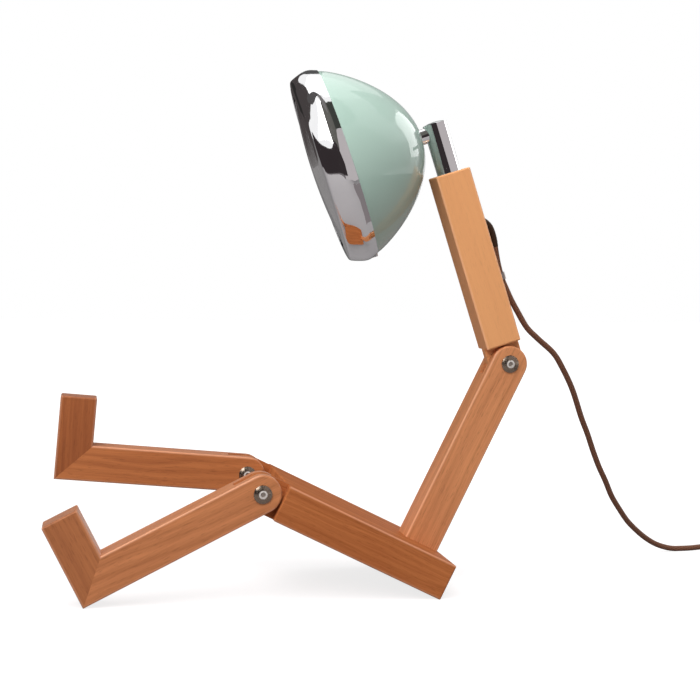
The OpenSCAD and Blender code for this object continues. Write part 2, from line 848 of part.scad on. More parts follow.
// Inner wires up the neck, past the stem's block and through the stem to the holder
module neck_wire() {
    foot = tube_foot + cord_gap;
    out = holder_z + holder_in - cord_gap;
    path = [
        [0, 0, foot], [0, 0, foot / 2 - stem_d], [1, 0, -stem_d * 2.4], [wire_x - 1, 0, -stem_d * 1.6],
        [wire_x, 0, -stem_d], [wire_x, 0, -stem_d / 2], [wire_x - 0.5, 0, -2.4],
        [wire_x - 1.9, 0, -0.8], [0, 0, 0],
        [-out / 2 * cos(shade_pitch), 0, -out / 2 * sin(shade_pitch)],
        [-out * cos(shade_pitch), 0, -out * sin(shade_pitch)]
    ];
    color("white") on_neck() tube(path, wire_r, wire_r, side = [0, 1, 0]);
}

// Tapered strain relief that follows the lead out of the torso's back
module cord_relief() {
    path = [for (i = [0 : relief_last]) from_torso(torso_route[i])];
    color(black) on_table() tube(path, relief_r, relief_tip, 12);
}

module torso_cord() {
    start = torso_route[relief_last];
    next = torso_route[relief_last + 1];
    path = concat([start + cord_gap * unit(next - start)],
        [for (i = [relief_last + 1 : len(torso_route) - 1]) torso_route[i]]);
    color(textile) on_table() tube([for (p = path) from_torso(p)], cord_r, cord_r);
}

module supply_cord() {
    color(textile) on_table() tube(fall_route, cord_r, cord_r);
}

module coil_cord() {
    color(textile) on_table() tube(coil_route, cord_r, cord_r);
}

module tail_cord() {
    color(textile) on_table() tube(tail_route, cord_r, cord_r);
}

// Saddle over the lead, screwed to the torso's back on both sides
module cord_clip() {
    arch_r = cord_r + cord_gap;
    sheet = 0.8;
    middle = torso_route[clip_point][0];
    color(chrome) on_torso() translate([0, 0, clip_z - clip_w / 2]) linear_extrude(clip_w) {
        difference() {
            union() {
                translate([middle, 0]) circle(r = arch_r + sheet);
                translate([half, -arch_r - sheet]) square([middle - half, 2 * (arch_r + sheet)]);
            }
            translate([middle, 0]) circle(r = arch_r);
            translate([half - 1, -arch_r]) square([middle - half + 1, 2 * arch_r]);
        }
        for (side = [-1, 1]) difference() {
            translate([half, side * (arch_r + 3.6) - 3.4]) square([sheet, 6.8]);
            translate([half - 1, -arch_r]) square([4, 2 * arch_r]);
        }
    }
}

// Middle of each clip screw on the clip's ears, with +z out of the torso's back
module clip_screw_places() {
    for (side = [-1, 1]) translate([half + 0.8, side * (cord_r + 4.5), clip_z])
        rotate([0, 90, 0]) children();
}

module clip_screws() {
    color("silver") on_torso() clip_screw_places() {
        cylinder(r = 1.8, h = 1.2);
    }
}

// Coiled length of the lead
module cord_coil() {
    r = cord_r;
    color(textile) on_table() translate([coil_x, coil_y, tie_t])
        rotate_extrude() eased_rect(coil_in, coil_out, 0, coil_h, r);
}

// Tie round the coil, on the side away from the switch
module cord_tie() {
    color(black) on_table() translate([coil_x, coil_y, 0]) difference() {
        translate([tie_in - tie_t, -tie_w / 2, 0])
            cube([coil_out - tie_in + 0.2 + 2 * tie_t, tie_w, coil_h + 2 * tie_t]);
        translate([tie_in, -tie_w, tie_t])
            cube([coil_out - tie_in + 0.2, 2 * tie_w, coil_h + 0.02]);
    }
}

// Switch ---------------------------------------------------------------------

pocket_l = 23;
pocket_w = 10.8;
rocker_w = 10;
rocker_z = switch_h - 6;
split_z = 0.45 * switch_h;
nub_l = 6;

// Housing outline in plan, with round ends
module switch_plan() {
    eased_rect(-switch_l / 2, switch_l / 2, -switch_w / 2, switch_w / 2, switch_w / 3);
}

// Pocket for the rocker and the groove of its pin
module switch_pocket() {
    translate([-pocket_l / 2, -pocket_w / 2, 3]) cube([pocket_l, pocket_w, switch_h]);
    translate([0, 0, rocker_z]) along_pivot(1.5 + pivot_gap, pocket_w + 4);
}

module switch_base() {
    color(black) on_switch() difference() {
        union() {
            linear_extrude(split_z) switch_plan();
            for (side = [-1, 1]) translate([side * switch_l / 2, 0, switch_h / 2]) intersection() {
                rotate([0, side * 90, 0]) cylinder(r = cord_d, h = nub_l);
                translate([-switch_l, -switch_w, -switch_h / 2])
                    cube([2 * switch_l, 2 * switch_w, split_z]);
            }
        }
        switch_pocket();
    }
}

module switch_cover() {
    color(black) on_switch() difference() {
        translate([0, 0, split_z]) linear_extrude(switch_h - split_z) switch_plan();
        switch_pocket();
    }
}

// Rocker: two sloping faces over a round belly, with its pin
module switch_rocker() {
    reach = pocket_l / 2 - 0.8;
    color("dimgray") on_switch() translate([0, 0, rocker_z]) rotate([0, rocker_tilt, 0]) {
        rotate([90, 0, 0]) linear_extrude(rocker_w, center = true) polygon([
            [-reach, 2.4], [-reach, 7], [0, 5.6], [reach, 7], [reach, 2.4], [3, -2.4], [-3, -2.4]
        ]);
        along_pivot(1.5, pocket_w + 3);
    }
}

// Plug -----------------------------------------------------------------------

module plug_body() {
    color(black) on_plug() {
        intersection() {
            rotate([90, 0, 0]) translate([0, 0, -plug_w]) linear_extrude(2 * plug_w)
                eased_rect(0, plug_l, -plug_t / 2, plug_t / 2, 2);
            translate([0, 0, -plug_t]) linear_extrude(2 * plug_t) polygon([
                [0, -plug_w / 2], [0, plug_w / 2], [10, plug_w / 2], [plug_l, 9],
                [plug_l, -9], [10, -plug_w / 2]
            ]);
        }
        translate([plug_l - eps, 0, 0]) rotate([0, 90, 0])
            cylinder(r1 = plug_t / 3, r2 = cord_r + 0.8, h = relief_l);
    }
}

module plug_pins() {
    color(chrome) on_plug() for (side = [-1, 1])
        translate([0, side * pin_pitch / 2, 0]) rotate([0, -90, 0]) {
            cylinder(d = pin_d, h = pin_l - pin_d / 2);
            translate([0, 0, pin_l - pin_d / 2]) sphere(d = pin_d);
        }
}

seat_block();
lower_torso();
torso_screws();
waist_bolt();
waist_nut();
waist_washers();
near_shin();
near_foot();
near_foot_dowels();
near_knee_bolt();
near_knee_nut();
near_knee_washers();
far_shin();
far_foot();
far_foot_dowels();
far_knee_bolt();
far_knee_nut();
far_knee_washers();
upper_torso();
neck_bush();
cord_relief();
torso_cord();
torso_wire();
cord_clip();
clip_screws();
neck_tube();
neck_cap();
neck_rings();
neck_wire();
stem_block();
stem();
stem_collar();
stem_nut();
shade_bowl();
shade_rim();
rim_screw();
rim_clips();
front_glass();
glass_seal();
reflector();
lamp_holder();
bulb();
supply_cord();
switch_base();
switch_cover();
switch_rocker();
coil_cord();
cord_coil();
cord_tie();
tail_cord();
plug_body();
plug_pins();
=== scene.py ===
"""Looks of the seated-figure desk lamp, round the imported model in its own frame, in metres."""

import json
import math

import bpy
import numpy as np
from mathutils import Matrix, Vector


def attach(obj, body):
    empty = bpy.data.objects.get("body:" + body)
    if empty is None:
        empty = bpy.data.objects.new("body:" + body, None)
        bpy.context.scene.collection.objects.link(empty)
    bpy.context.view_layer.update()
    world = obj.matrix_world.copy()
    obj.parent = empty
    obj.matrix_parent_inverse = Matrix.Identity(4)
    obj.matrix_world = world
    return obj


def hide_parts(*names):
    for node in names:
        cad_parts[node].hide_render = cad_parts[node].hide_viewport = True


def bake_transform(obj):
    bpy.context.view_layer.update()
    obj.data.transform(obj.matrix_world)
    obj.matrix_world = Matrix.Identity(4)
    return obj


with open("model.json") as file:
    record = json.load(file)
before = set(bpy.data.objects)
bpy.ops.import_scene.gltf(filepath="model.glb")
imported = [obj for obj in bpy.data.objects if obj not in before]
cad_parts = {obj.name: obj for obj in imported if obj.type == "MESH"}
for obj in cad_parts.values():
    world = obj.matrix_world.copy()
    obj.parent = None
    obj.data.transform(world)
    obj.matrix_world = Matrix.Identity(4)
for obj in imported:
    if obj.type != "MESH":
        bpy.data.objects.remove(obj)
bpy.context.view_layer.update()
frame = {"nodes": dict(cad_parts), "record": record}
nodes = frame["nodes"]
scene = bpy.context.scene
MM = 0.001

# Sizes of the source, in millimetres and degrees ------------------------------------------------
STOCK = 30.0
SEAT_L = 165.8
LOWER_L = 166.7
UPPER_L = 166.3
LEG_L = 161.0
KNEE_Y = 57.5
TORSO_STEP = 3.0
SEAT_PITCH = 26.115364
EDGE_RISE = 0.507134
NEAR_BEND = 52.9
FAR_BEND = 21.4
WAIST_BEND = 44.0
HEAD_TURN = 7.0
PLAN_X = -112.6802793
PLAN_Y = 8.2999405
STEM_H = 35.0
SHADE_PITCH = 1.6
NECK_R = 10.0
STEM_GAP = 3.5
STEM_R = 5.0
BOWL_R = 78.7
BOWL_DEEP = 65.5
BOWL_POWER = 1.2
BOWL_WALL = 1.0
RIM_DEEP = 25.4
RIM_BELLY = 3.3
RIM_WALL = 0.9
LIP_W = 12.0
GLASS_RISE = 5.4
GLASS_T = 3.0
CORD_R = 2.5
HALF = STOCK / 2


def turn(axis, degrees):
    return Matrix.Rotation(math.radians(degrees), 4, axis)


def shift(x, y, z):
    return Matrix.Translation(Vector((x, y, z)) * MM)


TABLE = shift(-PLAN_X, -PLAN_Y, 0)
SEAT = TABLE @ shift(0, 0, -EDGE_RISE) @ turn("Y", SEAT_PITCH)
WAIST = SEAT @ shift(-TORSO_STEP - HALF, 0, STOCK + LOWER_L)
TORSO = WAIST @ turn("Y", -WAIST_BEND)
NECK = TORSO @ shift(0, 0, UPPER_L + STEM_H) @ turn("Z", -HEAD_TURN)
SHADE = NECK @ turn("Y", -SHADE_PITCH - 90)


def leg(side, bend):
    return SEAT @ shift(-SEAT_L, side * KNEE_Y, HALF) @ turn("Y", -bend)


NEAR_LEG = leg(-1, NEAR_BEND)
FAR_LEG = leg(1, FAR_BEND)

# Camera -----------------------------------------------------------------------------------------
CAM_TURN = math.radians(9.912751)
CAM_DIP = math.radians(2.837331)
CAM_ROLL = math.radians(0.657977)
CAM_AT = Vector((50.2194, -8.2999, 194.6316)) * MM
CAM_AWAY = 1.241118
SENSOR_W = 36
FOCAL_PX = 1499.86
FRAME_PX = 700

ahead = Vector(
    (
        math.sin(CAM_TURN) * math.cos(CAM_DIP),
        math.cos(CAM_TURN) * math.cos(CAM_DIP),
        -math.sin(CAM_DIP),
    )
)
level = Vector((math.cos(CAM_TURN), -math.sin(CAM_TURN), 0))
upright = level.cross(ahead)
right = level * math.cos(CAM_ROLL) + upright * math.sin(CAM_ROLL)
up = upright * math.cos(CAM_ROLL) - level * math.sin(CAM_ROLL)
camera_data = bpy.data.cameras.new("camera")
camera_data.sensor_width = SENSOR_W
camera_data.lens = SENSOR_W * FOCAL_PX / FRAME_PX
camera_data.clip_start, camera_data.clip_end = 0.01, 50
camera = bpy.data.objects.new("camera", camera_data)
axes = Matrix((right, up, -ahead)).transposed().to_4x4()
camera.matrix_world = Matrix.Translation(CAM_AT - ahead * CAM_AWAY) @ axes
scene.collection.objects.link(camera)
scene.camera = camera
scene.view_settings.view_transform = "Standard"

# Lead -------------------------------------------------------------------------------------------
# Routes are in millimetres. Those in the torso are (x, z) in its frame, the others on the table
TORSO_ROUTE = [
    (15, 120.5), (16.1, 119.8), (18.9, 116.4), (20.5, 112.5), (21.0, 108), (20.9, 102.5),
    (20.1, 96.0), (19.1, 89.04), (18.2, 80.02), (17.9, 71), (18.2, 65),
]
# The relief starts inside the wood, and then follows the lead
RELIEF_ROUTE = [(9, 122), (12.3, 121.8), *TORSO_ROUTE[1:7]]
FALL_ROUTE = [
    (67.9, 0, 251.3), (70.4, 0, 246.1), (74.3, 0, 238.1), (80.3, 1, 228.1), (89.7, 3, 214),
    (101.1, 6, 203.9), (116.1, 11, 191.9), (126, 16, 178.8), (137.9, 24, 159.7),
    (149.7, 34, 134.7), (157.7, 40, 119.6), (165.6, 47, 103.6), (173.5, 53, 88.5),
    (182.4, 60, 74.5), (191.3, 68, 59.7), (201.1, 75, 47.1), (212, 83, 34.6), (223, 90, 24.9),
    (235, 97, 16), (247, 103, 9), (259, 107, 4.5), (270, 109, 2.5), (283, 110, 2.5),
    (298, 115, 2.5), (311, 121.5, 4.9), (320.5, 126, 8),
]
# From here on the lead lies still when the torso moves
SWITCH_ROUTE = [(335, 126, 8), (360, 126, 8), (385, 126, 8)]
COIL_ROUTE = [
    (399, 126, 8), (410, 125, 5.2), (421, 120.5, 3.6), (430, 110, 3.3), (434, 97, 3.3),
    (434, 85, 3.3),
]
TAIL_ROUTE = [
    (434, 66, 8.2), (433.5, 58, 7.7), (431, 50, 7.2), (426.5, 43, 6.9), (421.5, 36.5, 6.85),
    (418.5, 30, 6.85), (418, 24.4, 6.85), (418, 14, 6.85),
]
COIL_AT = (399.0, 74.0)
COIL_OUTER = 35.0
COIL_INNER = 25.0
COIL_LOW = 3.3
COIL_TURNS = 6


def coil_points(step=15):
    """The coil from its entry on the +x side: inwards below, then outwards above, with a point
    every step degrees."""
    found = []
    pitch = 2 * CORD_R
    half = COIL_TURNS / 2
    for i in range(COIL_TURNS * 360 // step + 1):
        t = i * step / 360
        r = max(COIL_OUTER - pitch * t, COIL_INNER)
        if t > half:
            r = min(COIL_INNER + pitch * (t - half), COIL_OUTER)
        z = COIL_LOW + pitch * min(max(t - half + 1, 0), 1)
        a = -2 * math.pi * t
        found.append((COIL_AT[0] + r * math.cos(a), COIL_AT[1] + r * math.sin(a), z))
    return found


def in_torso(points):
    return [TORSO @ (Vector((x, 0, z)) * MM) for x, z in points]


def on_table(points):
    return [TABLE @ (Vector(p) * MM) for p in points]


def smooth(points, step=0.003):
    """A Catmull-Rom line through the points, with a point about every step metres."""
    p = [np.array(q, float) for q in points]
    p = [2 * p[0] - p[1], *p, 2 * p[-1] - p[-2]]
    line = []
    for a, b, c, d in zip(p, p[1:], p[2:], p[3:]):
        count = max(1, round(float(np.linalg.norm(c - b)) / step))
        for i in range(count):
            t = i / count
            line.append(
                0.5 * (2 * b + (c - a) * t + (2 * a - 5 * b + 4 * c - d) * t**2
                       + (3 * b - a - 3 * c + d) * t**3)
            )
    line.append(p[-2])
    return np.array(line)


def mesh_object(name, verts, faces):
    mesh = bpy.data.meshes.new(name)
    mesh.from_pydata([tuple(v) for v in verts], [], faces)
    made = bpy.data.objects.new(name, mesh)
    scene.collection.objects.link(made)
    return made


# No line starts in this direction
ASIDE = (0, 1, 0.001)


def tube_mesh(name, line, radii, sides=16):
    """A closed tube with one radius for each point. Its UV is in metres along and turns round."""
    line = np.array(line, float)
    tangents = np.gradient(line, axis=0)
    tangents /= np.linalg.norm(tangents, axis=1)[:, None]
    normal = np.cross(ASIDE, tangents[0])
    normal /= np.linalg.norm(normal)
    lengths = np.concatenate([[0], np.cumsum(np.linalg.norm(np.diff(line, axis=0), axis=1))])
    verts = []
    for centre, tangent, radius in zip(line, tangents, radii):
        normal = normal - tangent * float(normal @ tangent)
        normal /= np.linalg.norm(normal)
        side = np.cross(tangent, normal)
        for k in range(sides):
            a = 2 * math.pi * k / sides
            verts.append(centre + radius * (math.cos(a) * normal + math.sin(a) * side))
    faces, corners = [], []
    for i in range(len(line) - 1):
        for k in range(sides):
            n = (k + 1) % sides
            faces.append((i * sides + k, i * sides + n, (i + 1) * sides + n, (i + 1) * sides + k))
            for row, col in ((i, k), (i, k + 1), (i + 1, k + 1), (i + 1, k)):
                corners.append((lengths[row], col / sides))
    last = (len(line) - 1) * sides
    faces.append(tuple(range(sides))[::-1])
    faces.append(tuple(range(last, last + sides)))
    corners += [(0, 0)] * sides + [(lengths[-1], 0)] * sides
    made = mesh_object(name, verts, faces)
    uv = made.data.uv_layers.new(name="run")
    uv.data.foreach_set("uv", np.array(corners, np.float32).ravel())
    made.data.shade_smooth()
    made.data.update()
    return made


torso_line = in_torso(TORSO_ROUTE)
route = torso_line + on_table(
    FALL_ROUTE + SWITCH_ROUTE + COIL_ROUTE + coil_points() + TAIL_ROUTE
)
cord_line = smooth(route)
cord_line[:, 2] = np.maximum(cord_line[:, 2], CORD_R * MM)
lead = tube_mesh("lead", cord_line, [CORD_R * MM] * len(cord_line))
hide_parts("torso_cord", "supply_cord", "coil_cord", "cord_coil", "tail_cord")
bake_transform(lead)


# Materials --------------------------------------------------------------------------------------
class Nodes:
    """A node tree, with short ways to add a node and to link it."""

    def __init__(self, tree):
        self.tree = tree
        self.tree.nodes.clear()

    def link(self, a, b):
        self.tree.links.new(a, b)

    def add(self, kind, inputs=None, **settings):
        made = self.tree.nodes.new(kind)
        for key, value in settings.items():
            setattr(made, key, value)
        for key, value in (inputs or {}).items():
            self.put(made.inputs[key], value)
        return made

    def put(self, socket, value):
        if isinstance(value, bpy.types.NodeSocket):
            self.link(value, socket)
        else:
            socket.default_value = value

    def maths(self, operation, *values, clamp=False):
        made = self.add("ShaderNodeMath", operation=operation, use_clamp=clamp)
        for socket, value in zip(made.inputs, values):
            self.put(socket, value)
        return made.outputs[0]

    def ramp(self, factor, *stops):
        """stops are (position, number). Only a factor that runs over about 0 to 1 is sharp."""
        made = self.add("ShaderNodeValToRGB", {"Fac": factor})
        elements = made.color_ramp.elements
        while len(elements) < len(stops):
            elements.new(0.5)
        for element, (position, value) in zip(elements, stops):
            element.position = position
            element.color = (value, value, value, 1)
        return made.outputs["Color"]

    def mix(self, factor, a, b):
        """a and b are colours, as sockets or as three numbers."""
        made = self.add("ShaderNodeMix", data_type="RGBA")
        self.put(made.inputs["Factor"], factor)
        for socket, value in ((made.inputs[6], a), (made.inputs[7], b)):
            self.put(socket, (*value, 1) if isinstance(value, tuple) else value)
        return made.outputs[2]

    def local(self, placed=None):
        """Coordinates in metres, in the given frame of the object at rest."""
        coords = self.add("ShaderNodeTexCoord").outputs["Object"]
        if placed is None:
            return coords
        return self.add(
            "ShaderNodeMapping",
            {
                "Vector": coords,
                "Location": placed.to_translation(),
                "Rotation": placed.to_euler(),
            },
            vector_type="TEXTURE",
        ).outputs[0]

    def stretched(self, vector, scale):
        return self.add(
            "ShaderNodeVectorMath", {0: vector, 1: scale}, operation="MULTIPLY"
        ).outputs[0]

    def noise(self, vector, scale, detail=3.0, roughness=0.5):
        return self.add(
            "ShaderNodeTexNoise",
            {"Vector": vector, "Scale": scale, "Detail": detail, "Roughness": roughness},
        ).outputs["Fac"]

    def length(self, vector):
        return self.add("ShaderNodeVectorMath", {0: vector}, operation="LENGTH").outputs["Value"]

    def apart(self, vector):
        return self.add("ShaderNodeSeparateXYZ", {0: vector}).outputs

    def bump(self, height, strength, distance):
        inputs = {"Height": height, "Strength": strength, "Distance": distance}
        return self.add("ShaderNodeBump", inputs).outputs[0]


class Tree(Nodes):
    """A material's node tree, from a principled shader."""

    def __init__(self, name):
        self.material = bpy.data.materials.new(name)
        self.material.use_nodes = True
        super().__init__(self.material.node_tree)
        self.out = self.add("ShaderNodeOutputMaterial")
        self.shader = self.add("ShaderNodeBsdfPrincipled")
        self.link(self.shader.outputs[0], self.out.inputs[0])

    def set(self, **inputs):
        for key, value in inputs.items():
            self.put(self.shader.inputs[key.replace("_", " ")], value)
        return self.material


# The wood's noises: cycles for each metre, and the share of them along the grain
WANDER = (26, 0.22)
BROAD = (38, 0.18)
STREAKS = (760, 0.03)
DASHES = (1250, 0.10)
# The growth rings: their scale, how much they follow the section's depth, and how far they wander
RING_SCALE = 210.0
RING_DEPTH = 0.55
RING_WANDER = 0.022
# Each noise's share in the wood's tone
RING_TONE = 1.5
STREAK_TONE = 1.1
BROAD_TONE = 1.3
PORE_TONE = 0.42
PORE_DARK = 0.45
# The painted highlight along the long edges, in metres: the width that its ramp covers, and how
# ragged it is
EDGE_HIGHLIGHT_SPAN = 0.004
EDGE_HIGHLIGHT_RAGGED = 0.0007
EDGE_HIGHLIGHT_TINT = (0.9, 0.6, 0.45)


def timber(
    name, placed, light, dark, seed, half_x=HALF, half_y=HALF, lean=0.02, figure=0.75, gloss=0.25,
    polish=0.0, haze=0.0,
):
    """Oiled open-grained wood. The placed frame's z runs along the grain, in the middle of a
    section of twice half_x by twice half_y. lean tilts the rings along it, figure is how strongly
    the grain shows, and gloss, polish and haze are the shader's specular, coat and sheen."""
    t = Tree(name)
    base = t.local(placed)
    # Each limb is cut from another place in the wood
    moved = t.add(
        "ShaderNodeVectorMath", {0: base, 1: (seed, seed * 1.7, seed * 0.6)}, operation="ADD"
    ).outputs[0]
    x, y, z = t.apart(base)

    def grain(noise, **detail):
        scale, along = noise
        return t.noise(t.stretched(moved, (1, 1, along)), scale, **detail)

    def about(value, share):
        """The noise about its middle, times the share."""
        return t.maths("MULTIPLY", t.maths("SUBTRACT", value, 0.5), share * figure)

    # Growth rings: uneven bands across the limb that wander along it
    wander = grain(WANDER, detail=3, roughness=0.45)
    across = t.maths("ADD", x, t.maths("MULTIPLY", y, RING_DEPTH))
    across = t.maths("ADD", across, t.maths("MULTIPLY", z, lean))
    across = t.maths("ADD", across, t.maths("MULTIPLY", wander, RING_WANDER))
    across = t.maths("ADD", across, seed)
    bands = t.add(
        "ShaderNodeTexNoise",
        {"W": across, "Scale": RING_SCALE, "Detail": 3.0, "Roughness": 0.6},
        noise_dimensions="1D",
    ).outputs["Fac"]
    broad = grain(BROAD, detail=2)
    # Fine streaks, and the short dark dashes of the open pores
    streaks = grain(STREAKS, detail=3, roughness=0.6)
    dashes = grain(DASHES, detail=2, roughness=0.55)
    tone = about(bands, RING_TONE)
    tone = t.maths("ADD", tone, about(streaks, STREAK_TONE))
    tone = t.maths("ADD", tone, about(broad, BROAD_TONE))
    colour = t.mix(t.maths("ADD", tone, 0.5, clamp=True), dark, light)
    pores = t.ramp(t.maths("ADD", dashes, t.maths("MULTIPLY", bands, 0.10)), (0.36, 1), (0.47, 0))
    in_pores = tuple(c * PORE_DARK for c in dark)
    colour = t.mix(t.maths("MULTIPLY", pores, PORE_TONE * figure), colour, in_pores)
    # Painted highlight: the long edges are lightened towards a pale tint, where light would catch
    # them
    depths = [
        t.maths("SUBTRACT", half * MM, t.maths("ABSOLUTE", axis))
        for axis, half in ((x, half_x), (y, half_y))
    ]
    from_edge = t.maths(
        "ADD", t.maths("MAXIMUM", *depths), t.maths("MULTIPLY", streaks, EDGE_HIGHLIGHT_RAGGED)
    )
    edge_highlight_mask = t.ramp(t.maths("MULTIPLY", from_edge, 1 / EDGE_HIGHLIGHT_SPAN), (0.2, 1), (0.6, 0))
    painted_edge_highlight = tuple(0.7 * c + 0.45 * w for c, w in zip(light, EDGE_HIGHLIGHT_TINT))
    colour = t.mix(t.maths("MULTIPLY", edge_highlight_mask, 0.55), colour, painted_edge_highlight)
    height = t.maths("SUBTRACT", t.maths("MULTIPLY", streaks, 0.4), pores)
    return t.set(
        Base_Color=colour,
        Roughness=t.maths("ADD", 0.44, t.maths("MULTIPLY", streaks, 0.18)),
        Specular_IOR_Level=gloss,
        Coat_Weight=polish,
        Coat_Roughness=0.35,
        Sheen_Weight=haze,
        Sheen_Roughness=0.3,
        Sheen_Tint=(1, 0.86, 0.78, 1),
        Normal=t.bump(height, 0.2 * figure, 0.00012),
    )


ALONG_X = turn("Y", 90)
WOOD = {
    "seat_block": timber(
        "seat_timber", SEAT @ shift(0, 0, HALF) @ ALONG_X, (0.595, 0.203, 0.068),
        (0.342, 0.098, 0.030), 1.3, half_y=72.5, gloss=0.03,
    ),
    "lower_torso": timber(
        "lower_torso_timber", WAIST, (0.762, 0.318, 0.132), (0.485, 0.177, 0.069), 2.9, lean=0.004,
        polish=0.1,
    ),
    "upper_torso": timber(
        "upper_torso_timber", TORSO, (0.889, 0.425, 0.175), (0.752, 0.333, 0.133), 4.1, figure=0.3,
    ),
    "near_shin": timber(
        "near_shin_timber", NEAR_LEG @ ALONG_X, (0.685, 0.260, 0.098), (0.406, 0.134, 0.046), 5.7,
        lean=-0.05, polish=0.3, haze=0.4,
    ),
    "near_foot": timber(
        "near_foot_timber", NEAR_LEG @ shift(HALF - LEG_L, 0, 0), (0.531, 0.187, 0.065),
        (0.335, 0.107, 0.035), 7.2, polish=0.25, haze=0.4,
    ),
    "far_shin": timber(
        "far_shin_timber", FAR_LEG @ ALONG_X, (0.625, 0.213, 0.066), (0.391, 0.114, 0.033), 8.8,
        lean=0.03, polish=0.25, haze=0.4,
    ),
    "far_foot": timber(
        "far_foot_timber", FAR_LEG @ shift(HALF - LEG_L, 0, 0), (0.449, 0.136, 0.037),
        (0.281, 0.074, 0.020), 9.9, polish=0.25, haze=0.4,
    ),
    "near_foot_dowels": timber(
        "near_dowel_timber", NEAR_LEG, (0.50, 0.24, 0.11), (0.34, 0.15, 0.07), 3.3, figure=0.5,
    ),
    "far_foot_dowels": timber(
        "far_dowel_timber", FAR_LEG, (0.50, 0.24, 0.11), (0.34, 0.15, 0.07), 6.3, figure=0.5,
    ),
}


def metal(name, colour, roughness, wear=0.06, scale=60):
    """Polished or plated metal with faint handling marks."""
    t = Tree(name)
    at = t.local()
    marks = t.noise(at, scale, detail=5, roughness=0.6)
    fine = t.noise(at, scale * 12, detail=2)
    rough = t.maths("ADD", roughness, t.maths("MULTIPLY", marks, wear))
    return t.set(
        Base_Color=t.mix(marks, colour, tuple(c * 0.9 for c in colour)),
        Metallic=1.0,
        Roughness=rough,
        Normal=t.bump(fine, 0.03, 0.00002),
    )


CLIP = metal("tinned_clip", (0.34, 0.30, 0.28), 0.3, 0.15, 120)
CHROME = metal("chrome_plate", (0.93, 0.93, 0.94), 0.03, 0.03)
STEEL = metal("plated_steel", (0.60, 0.60, 0.62), 0.22, 0.12, 120)
DARK_STEEL = metal("blackened_steel", (0.12, 0.12, 0.12), 0.3, 0.2, 120)
BRASS = metal("turned_brass", (0.72, 0.52, 0.24), 0.2, 0.15, 120)
MIRROR = metal("polished_aluminium", (0.9, 0.9, 0.91), 0.06, 0.04, 90)

# The bolt's bright ring round the socket, partly wear and partly painted highlight, in metres from
# its axis: the width that its ramp covers, and how ragged
HIGHLIT_RING_SPAN = 0.008
HIGHLIT_RING_RAGGED = 0.0008


def bolt(name, placed):
    """Dark nickel with a bright ring round the socket, partly wear and partly painted highlight,
    about the placed frame's y.
    """
    t = Tree(name)
    at = t.local(placed)
    away = t.length(t.stretched(at, (1, 0, 1)))
    marks = t.noise(at, 700, detail=4, roughness=0.6)
    ragged = t.maths("MULTIPLY", t.maths("SUBTRACT", marks, 0.5), HIGHLIT_RING_RAGGED)
    edge = t.maths("MULTIPLY", t.maths("ADD", away, ragged), 1 / HIGHLIT_RING_SPAN)
    # Painted highlight, partly wear: a bright, less metallic ring round the socket
    worn_and_highlit_ring = t.ramp(edge, (0.20, 0.3), (0.27, 1), (0.37, 1), (0.45, 0))
    # The dark tone is partly tarnish and partly painted dark reflection
    tarnish_and_dark_reflection = t.mix(marks, (0.23, 0.175, 0.135), (0.34, 0.27, 0.21))
    return t.set(
        Base_Color=t.mix(worn_and_highlit_ring, tarnish_and_dark_reflection, (0.74, 0.70, 0.66)),
        Metallic=t.maths("SUBTRACT", 1.0, t.maths("MULTIPLY", worn_and_highlit_ring, 0.8)),
        Roughness=t.maths("ADD", t.maths("MULTIPLY", worn_and_highlit_ring, 0.15), t.maths("MULTIPLY", marks, 0.5)),
        Normal=t.bump(marks, 0.12, 0.0001),
    )


BOLT = {}
for joint, placed in (("waist", WAIST), ("near_knee", NEAR_LEG), ("far_knee", FAR_LEG)):
    nickel = bolt(joint.removesuffix("_knee") + "_nickel", placed)
    BOLT[joint + "_bolt"] = BOLT[joint + "_nut"] = nickel


def paint():
    """Gloss mint lacquer over the pressed bowl, with a faint orange peel."""
    t = Tree("mint_lacquer")
    at = t.local(SHADE)
    peel = t.noise(at, 420, detail=2)
    cloud = t.noise(at, 18, detail=3)
    return t.set(
        Base_Color=t.mix(cloud, (0.39, 0.55, 0.47), (0.41, 0.57, 0.49)),
        Roughness=0.5,
        Specular_IOR_Level=0.4,
        Coat_Weight=1.0,
        Coat_Roughness=0.02,
        Coat_Normal=t.bump(peel, 0.015, 0.0001),
    )


MINT = paint()

# The headlamp glass's upright ribs and their slow wave, in metres
RIB_PITCH = 0.009
RIB_WAVE = 0.036


def glass(name, colour=(0.85, 0.88, 0.87), roughness=0.0, ribs=False):
    """Faintly green glass, pressed with ribs or plain."""
    t = Tree(name)
    extra = {}
    if ribs:
        x, y, _ = t.apart(t.local(SHADE))
        wave = t.maths("SINE", t.maths("MULTIPLY", y, 2 * math.pi / RIB_PITCH))
        cross = t.maths("SINE", t.maths("MULTIPLY", x, 2 * math.pi / RIB_WAVE))
        height = t.maths("ADD", t.maths("ABSOLUTE", wave), t.maths("MULTIPLY", cross, 0.4))
        extra["Normal"] = t.bump(height, 0.5, 0.0006)
    return t.set(
        Base_Color=(*colour, 1), Transmission_Weight=1.0, IOR=1.5, Roughness=roughness, **extra
    )


GLASS = glass("headlamp_glass", ribs=True)
BULB_GLASS = glass("bulb_glass", (0.96, 0.96, 0.94), 0.35)


def plastic(name, colour, roughness, grain=0.15, scale=1500, gloss=0.5):
    """Moulded plastic or rubber with a fine spark-eroded grain."""
    t = Tree(name)
    at = t.local()
    grainy = t.noise(at, scale, detail=3)
    patch = t.noise(at, 40, detail=3)
    return t.set(
        Base_Color=t.mix(patch, colour, tuple(min(1, c * 1.25) for c in colour)),
        Roughness=t.maths("ADD", roughness - 0.05, t.maths("MULTIPLY", patch, 0.1)),
        Specular_IOR_Level=gloss,
        Normal=t.bump(grainy, grain, 0.00006),
    )


